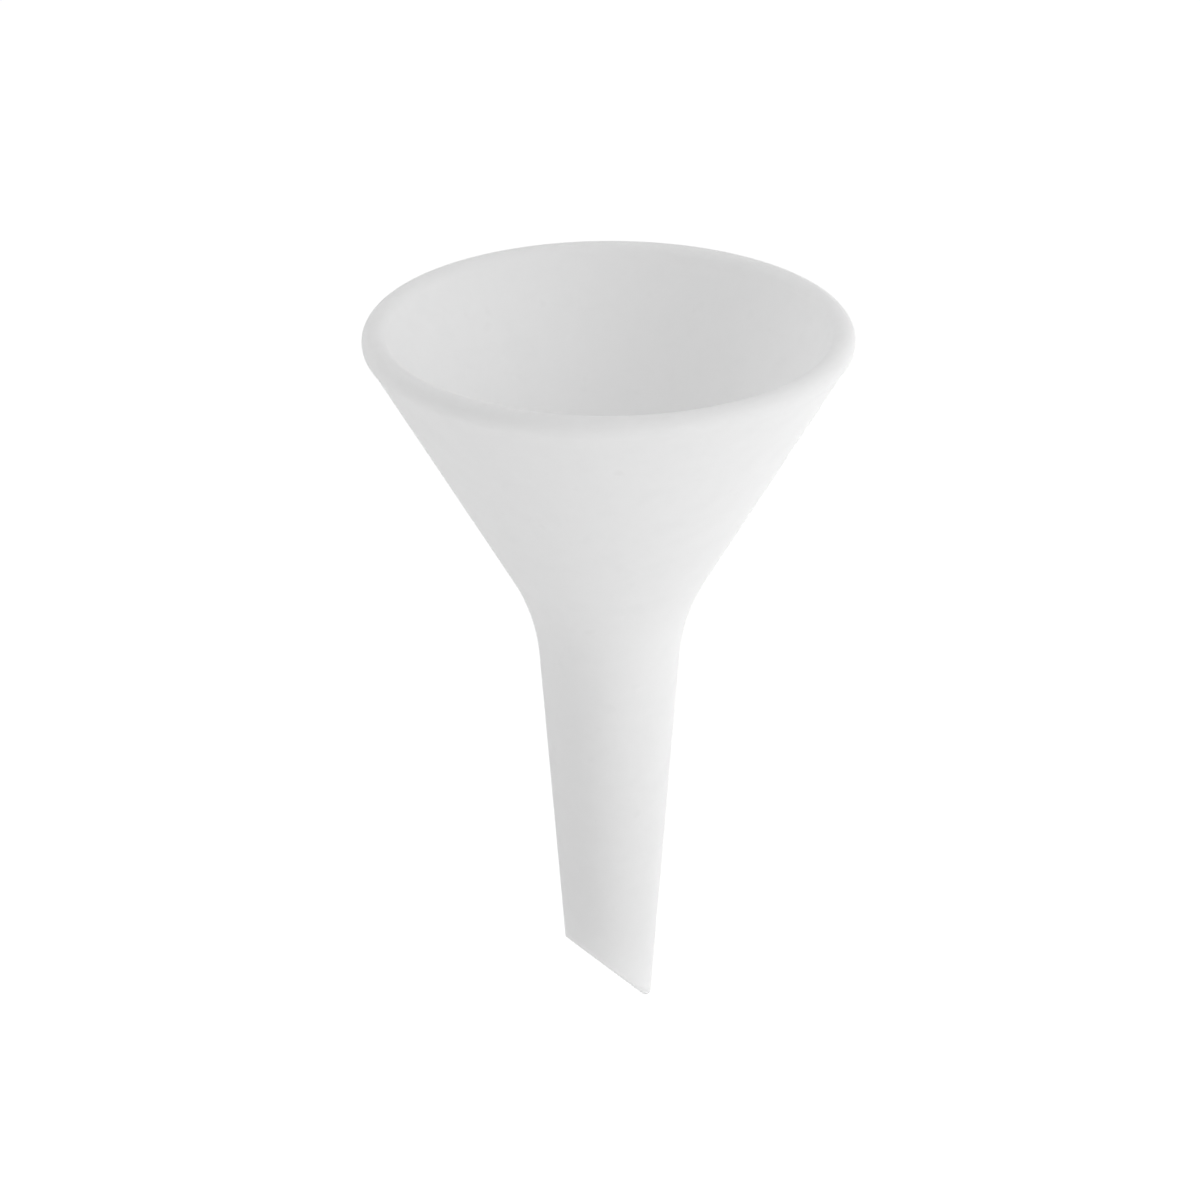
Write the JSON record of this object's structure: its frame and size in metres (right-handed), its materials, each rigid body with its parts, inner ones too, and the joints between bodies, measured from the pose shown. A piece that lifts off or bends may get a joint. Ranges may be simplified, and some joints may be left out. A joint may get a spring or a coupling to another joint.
{
  "type": "conical funnel",
  "caption": "Conical lab funnel in white fluoropolymer plastic with a round lip, a filleted neck and a tapered stem cut at a slant, for pouring into narrow necks.",
  "frame": {"origin": "on the axis, level with the 50 mm circle where the cone hangs in a ring or a neck", "axes": "+Z along the axis, up out of the mouth; the tip is longest between +X and +Y; the picture looks along +Y"},
  "size_m": [0.075, 0.075, 0.1157],
  "materials": {
    "white_plastic": "smooth, waxy satin, slightly translucent"
  },
  "bodies": {
    "root": {"funnel": "white_plastic"}
  },
  "joints": []
}
